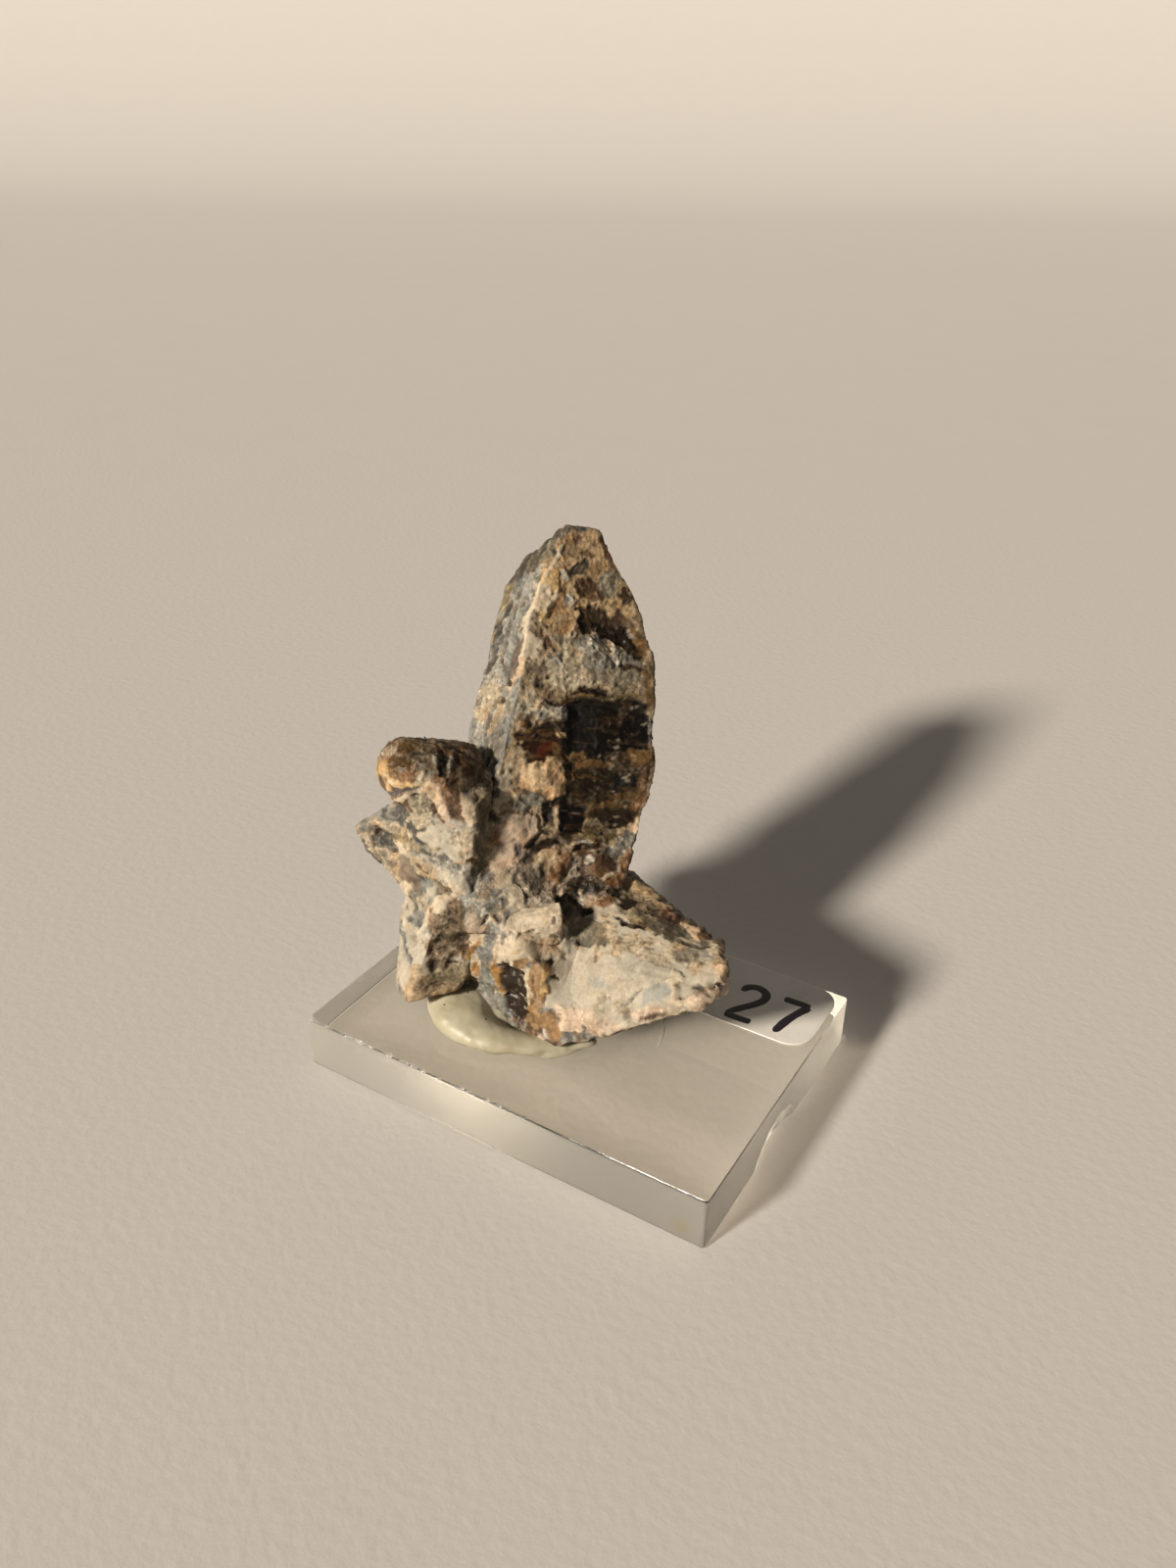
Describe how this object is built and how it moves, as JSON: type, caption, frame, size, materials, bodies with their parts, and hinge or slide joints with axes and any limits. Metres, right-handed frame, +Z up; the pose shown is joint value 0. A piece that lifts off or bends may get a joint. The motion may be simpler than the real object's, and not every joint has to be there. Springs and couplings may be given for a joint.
{
  "type": "augite crystal specimen",
  "caption": "Intergrown augite crystals, one tall and leaning, set in putty on a flat clear acrylic slab with a small paper label.",
  "frame": {"origin": "centre of the acrylic slab's underside", "axes": "+Z up through the crystals, +X along the slab's long edge to its right end, +Y from its front edge to its back edge"},
  "size_m": [0.0464, 0.0429, 0.0489],
  "materials": {
    "crystal": "rough, with glassy cleavage patches",
    "acrylic": "clear and polished, with sawn matte edges",
    "putty": "soft satin",
    "paper": "smooth white paper"
  },
  "bodies": {
    "root": {"crystal_cluster": "crystal", "acrylic_base": "acrylic", "putty": "putty", "label": "paper"}
  },
  "joints": []
}
